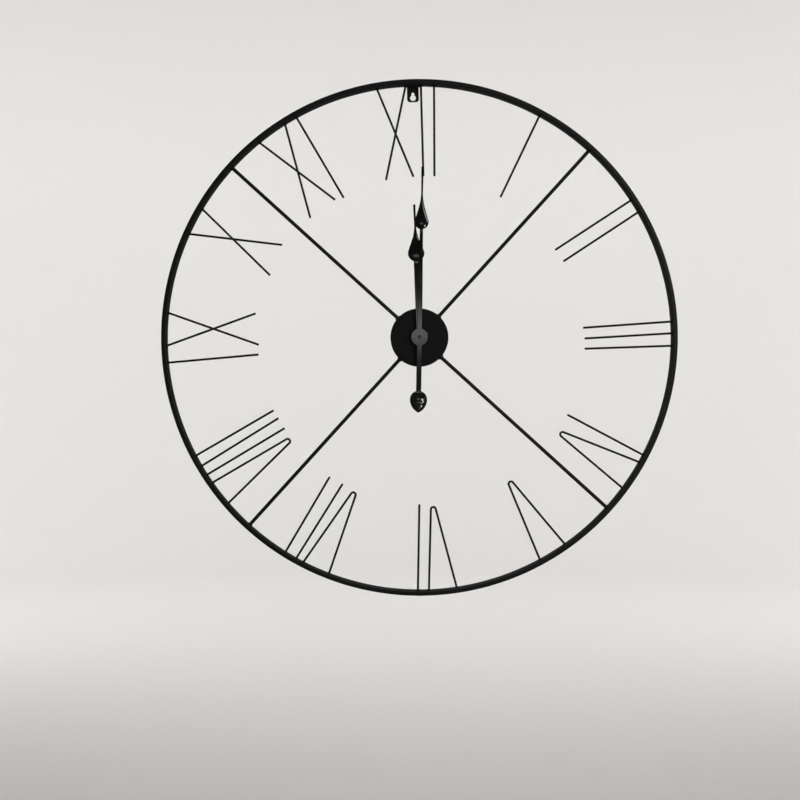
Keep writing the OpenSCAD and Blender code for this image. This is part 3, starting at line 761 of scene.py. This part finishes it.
def turned_metal(name, bright, dull, rough, lines):
    """Turned metal: fine rings about the dial's axis, with a patchy tarnish."""
    material, place = start_material(name)
    x = place.axis("X") - dial.x
    z = place.axis("Z") - dial.z
    squares = x * x + z * z
    radius = squares.calc("SQRT", squares)
    rings = radius.make(
        "ShaderNodeTexNoise", {"noise_dimensions": "1D"}, {"W": radius, "Scale": lines}
    )
    tarnish = place.noise(420.0, 4.0, 0.6).between(0.4, 0.75)
    return finish_material(
        material,
        rings,
        0.012 * mm,
        Base_Color=tarnish.mix(bright, dull),
        Roughness=tarnish.between(0.0, 1.0, rough, rough + 0.2) + rings * 0.08,
        Metallic=1.0,
    )


brass = turned_metal("turned_brass", bright_brass, dull_brass, 0.22, 5200.0)
nickel = turned_metal("nickel_plate", bright_nickel, dull_nickel, 0.18, 2600.0)
paint(["threaded_bush", "hex_nut"], brass)
paint(["washer", "contact_plus", "contact_minus", "clutch_spring", "quartz_crystal"], nickel)

# The minute shaft is tarnished turned brass, but its outer tip, which shows in the nut's hole, is
# coloured near black and not metallic: this is painted shade for the dark hole.
shaft_brass, place = start_material("shaft_blackened_at_the_tip")
tip_half = 0.5 * mm
painted_shade_tip = place.axis("Y").between(tip_half - nut_back, -tip_half - nut_back)
tarnish = place.noise(420.0, 4.0, 0.6).between(0.4, 0.75)
finish_material(
    shaft_brass,
    place.noise(2600.0, 2.0),
    0.01 * mm,
    Base_Color=painted_shade_tip.mix(tarnish.mix(bright_brass, dull_brass), (0.008, 0.008, 0.008)),
    Roughness=tarnish.between(0.0, 1.0, 0.24, 0.42),
    Metallic=1.0 - painted_shade_tip,
)
paint(["minute_shaft"], shaft_brass)

# ---------------------------------------------------------------- battery
# One AA cell drops into the bay from the back. It is a steel can in a printed film wrap, dark
# green with a copper-coloured shoulder, and its two ends are left bare.

wrap_green, wrap_copper = (0.018, 0.070, 0.048), (0.50, 0.23, 0.08)
band_cream, scuff_grey, can_steel = (0.75, 0.72, 0.62), (0.30, 0.30, 0.28), (0.62, 0.61, 0.58)
cell_low, cell_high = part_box("battery")
cell_wrap, place = start_material("battery_wrap")
along = (place.axis("X") - cell_low.x) / (cell_high.x - cell_low.x)
bare_ends = (along > 0.965) + (along < 0.012)
shoulder = along > 0.72
fine_bands = (along > 0.705) * (along < 0.712) + (along > 0.735) * (along < 0.741)
scuffs = place.noise(900.0, 3.0, 0.6).between(0.55, 0.8)
printed = fine_bands.mix(shoulder.mix(wrap_green, wrap_copper), band_cream)
finish_material(
    cell_wrap,
    place.noise(260.0, 2.0),
    0.05 * mm,
    Base_Color=bare_ends.mix((scuffs * 0.25).mix(printed, scuff_grey), can_steel),
    Roughness=scuffs.between(0.0, 1.0, 0.24, 0.42),
    Metallic=bare_ends,
)
paint(["battery"], cell_wrap)

# ---------------------------------------------------------------- circuit, coil and motor
# A small green board carries the quartz can and a chip under a blob of epoxy. The stepping motor
# beside it is a coil of enamelled wire on a moulded bobbin, with a core and stator of soft iron.

solder_resist, place = start_material("solder_resist")
board_up = place.make(
    "ShaderNodeMapping", None, {"Vector": place, "Rotation": (math.pi / 2, 0.0, 0.0)}
)
tracks = board_up.make(
    "ShaderNodeTexBrick",
    {"offset": 0.37, "squash": 0.6, "squash_frequency": 3},
    {
        "Vector": board_up,
        "Scale": 320.0,
        "Mortar Size": 0.06,
        "Color1": (0.0, 0.0, 0.0, 1.0),
        "Color2": (0.0, 0.0, 0.0, 1.0),
        "Mortar": (1.0, 1.0, 1.0, 1.0),
    },
    1,
)
finish_material(
    solder_resist,
    tracks,
    0.04 * mm,
    Base_Color=tracks.mix((0.012, 0.105, 0.035), (0.055, 0.235, 0.085)),
    Roughness=place.noise(800.0, 3.0).between(0.3, 0.7, 0.28, 0.42),
)
paint(["circuit_board"], solder_resist)

epoxy, place = start_material("cured_epoxy")
sag = place.noise(300.0, 2.0)
finish_material(
    epoxy,
    sag,
    0.1 * mm,
    Base_Color=sag.mix((0.006, 0.006, 0.006), (0.016, 0.015, 0.014)),
    Roughness=sag.between(0.3, 0.7, 0.12, 0.24),
)
paint(["chip"], epoxy)

winding, place = start_material("enamelled_winding")
# The bands of the turns also set the colour: brighter copper along the crown of each turn is a
# painted highlight, and darker copper in the grooves between turns is painted shade.
turns = place.make(
    "ShaderNodeTexWave",
    {"wave_type": "BANDS", "bands_direction": "Z", "wave_profile": "SIN"},
    {"Vector": place, "Scale": 1500.0, "Distortion": 0.6, "Detail": 1.0},
    1,
)
finish_material(
    winding,
    turns,
    0.06 * mm,
    Base_Color=turns.mix((0.24, 0.075, 0.025), (0.74, 0.33, 0.13)),
    Roughness=turns.between(0.0, 1.0, 0.4, 0.26),
    Metallic=0.85,
)
paint(["coil_winding"], winding)

iron, place = start_material("annealed_iron")
oxide = place.noise(500.0, 4.0, 0.65).between(0.35, 0.7)
finish_material(
    iron,
    place.noise(3200.0, 2.0),
    0.02 * mm,
    Base_Color=oxide.mix((0.42, 0.42, 0.44), (0.24, 0.25, 0.29)),
    Roughness=oxide.between(0.0, 1.0, 0.32, 0.5),
    Metallic=1.0,
)
paint(["coil_core", "stator"], iron)

# ---------------------------------------------------------------- wheels
# The going train and the motion work are moulded in natural acetal, which is slightly waxy and
# picks up a grey bloom where the teeth run. The coil's bobbin is of the same plastic.

going_train = ["rotor", "intermediate_wheel", "seconds_wheel", "third_wheel", "centre_wheel"]
motion_work = ["minute_wheel", "hour_wheel"]
acetal, place = start_material("natural_acetal")
bloom = place.noise(900.0, 3.0, 0.6).between(0.4, 0.75)
finish_material(
    acetal,
    place.noise(2200.0, 2.0),
    0.02 * mm,
    Base_Color=bloom.mix((0.80, 0.77, 0.69), (0.60, 0.58, 0.53)),
    Roughness=bloom.between(0.0, 1.0, 0.34, 0.48),
    Subsurface_Weight=0.08,
)
paint(going_train + motion_work + ["coil_bobbin"], acetal)

# ---------------------------------------------------------------- camera
# It looks straight at the wall from a little left of and below the dial's middle, far enough
# off that the hoop's inner side hardly shows.

view_width = 3.094 * hoop_out
camera_left = 0.0753 * hoop_out
camera_down = 0.2424 * hoop_out
camera_distance = 1.7

camera_data = bpy.data.cameras.new("camera")
camera_data.sensor_width = 36.0
camera_data.lens = camera_data.sensor_width * camera_distance / view_width
camera_data.clip_end = 50.0
camera = bpy.data.objects.new("camera", camera_data)
camera.location = (dial.x - camera_left, rim_low.y - camera_distance, dial.z - camera_down)
camera.rotation_euler = (math.pi / 2, 0.0, 0.0)
bpy.context.scene.collection.objects.link(camera)
bpy.context.scene.camera = camera
bpy.context.scene.view_settings.view_transform = "Standard"

# ---------------------------------------------------------------- floor
# A round, pale, matt studio floor that bends up into a wall all the way round. Glossy black
# pieces don't mirror it, as they wouldn't in a room that falls away into the dark.

floor_z = rim_low.z - 0.32
floor_r = 4.2
floor_bend = 1.6
floor_wall = 6.0
bend_steps = 12
round_steps = 128

floor_profile = [(floor_r - floor_bend, floor_z)]
for i in range(1, bend_steps + 1):
    a = math.pi / 2 * i / bend_steps
    r = floor_r - floor_bend + floor_bend * math.sin(a)
    floor_profile.append((r, floor_z + floor_bend * (1 - math.cos(a))))
floor_profile.append((floor_r, floor_z + floor_wall))
made = bmesh.new()
rings = []
for i in range(round_steps):
    a = 2 * math.pi * i / round_steps
    rings.append([
        made.verts.new((dial.x + r * math.cos(a), r * math.sin(a), z)) for r, z in floor_profile
    ])
middle = made.verts.new((dial.x, 0.0, floor_z))
for i in range(round_steps):
    a, b = rings[i], rings[(i + 1) % round_steps]
    made.faces.new((middle, a[0], b[0]))
    for j in range(len(a) - 1):
        made.faces.new((a[j], a[j + 1], b[j + 1], b[j]))
floor = piece_from("studio_floor", made)
floor_material, place = start_material("pale_floor")
finish_material(floor_material, None, 0.0, Base_Color=(0.82, 0.81, 0.79, 1.0), Roughness=0.9)
floor.data.materials.append(floor_material)
floor.visible_glossy = False

# ---------------------------------------------------------------- lamps
# Soft rectangular lamps. One key from the right, a low wide one that the hands' boss mirrors, a
# small one for the lights on the drop, and four that light the floor and the wall behind.

world = bpy.data.worlds.new("studio")
world.use_nodes = True
world.node_tree.nodes["Background"].inputs["Color"].default_value = (0.96, 0.98, 1.0, 1.0)
world.node_tree.nodes["Background"].inputs["Strength"].default_value = 0.07
bpy.context.scene.world = world

white = (1.0, 1.0, 1.0)
warm_white = (1.0, 0.98, 0.95)
lamp_plane = -1.72


def lamp(name, place, aim, width, height, power, tint=white):
    """A soft rectangular lamp at place, facing aim, that the camera itself doesn't see."""
    data = bpy.data.lights.new(name, "AREA")
    data.shape = "RECTANGLE"
    data.size = width
    data.size_y = height
    data.energy = power
    data.color = tint
    thing = bpy.data.objects.new(name, data)
    thing.location = place
    thing.rotation_euler = (Vector(aim) - Vector(place)).to_track_quat("-Z", "Y").to_euler()
    thing.visible_camera = False
    bpy.context.scene.collection.objects.link(thing)


lamp("key", (1.15, -2.0, 0.35), dial, 0.5, 0.5, 6, warm_white)
lamp("boss", (dial.x + 0.03, lamp_plane, dial.z + 0.112), dial, 0.30, 0.10, 0.26)
lamp("drop", (dial.x + 0.40, lamp_plane, dial.z - 0.10), dial, 0.08, 0.10, 0.9)
lamp("wall_left", (-2.3, 0.9, 0.2), (-0.6, 4.2, -0.2), 0.9, 2.4, 27)
lamp("wall_right", (2.3, 0.9, 0.2), (0.6, 4.2, -0.2), 0.9, 2.4, 27)
lamp("wall_top", (0.0, 0.8, 2.3), (0.0, 4.2, -0.1), 3.0, 0.9, 29)
lamp("floor", (0.0, 1.2, 1.9), (0.0, 2.4, -1.0), 3.0, 1.2, 26)
